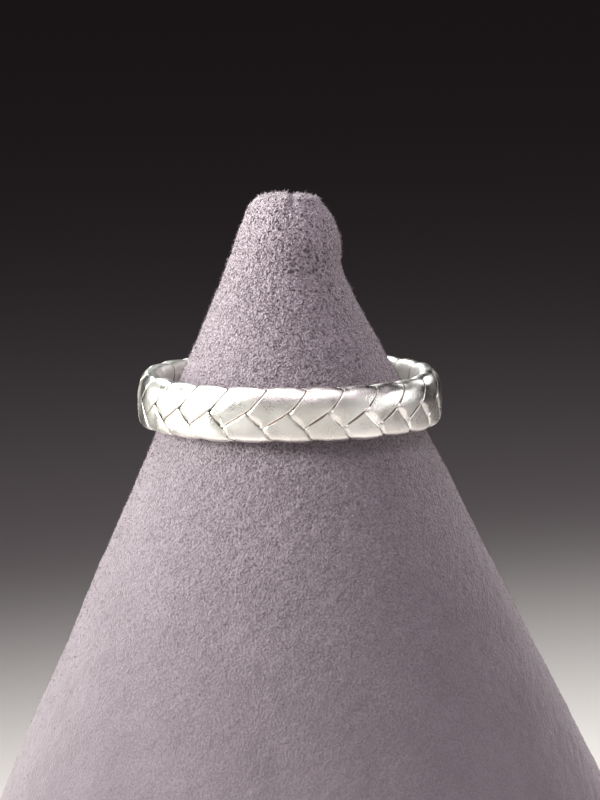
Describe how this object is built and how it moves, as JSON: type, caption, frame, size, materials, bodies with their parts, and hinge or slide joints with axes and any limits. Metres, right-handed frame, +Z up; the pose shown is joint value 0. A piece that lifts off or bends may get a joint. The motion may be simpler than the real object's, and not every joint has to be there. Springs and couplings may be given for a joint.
{
  "type": "braided band ring on a cone display stand",
  "caption": "Flat band ring of plaited silver strands, rolled smooth, resting on a suede-covered cone display stand with a rounded tip.",
  "frame": {"origin": "centre of the cone's flat base, which stands on the surface", "axes": "+Z up along the cone's and the ring's common axis; the side the picture shows faces -Y, with +X to the viewer's right"},
  "size_m": [0.0492, 0.0492, 0.0506],
  "materials": {
    "silver": "polished, softly worn",
    "suede": "matte nap"
  },
  "bodies": {
    "root": {"strand_a": "silver", "strand_b": "silver", "strand_c": "silver", "cone_stand": "suede"}
  },
  "joints": []
}
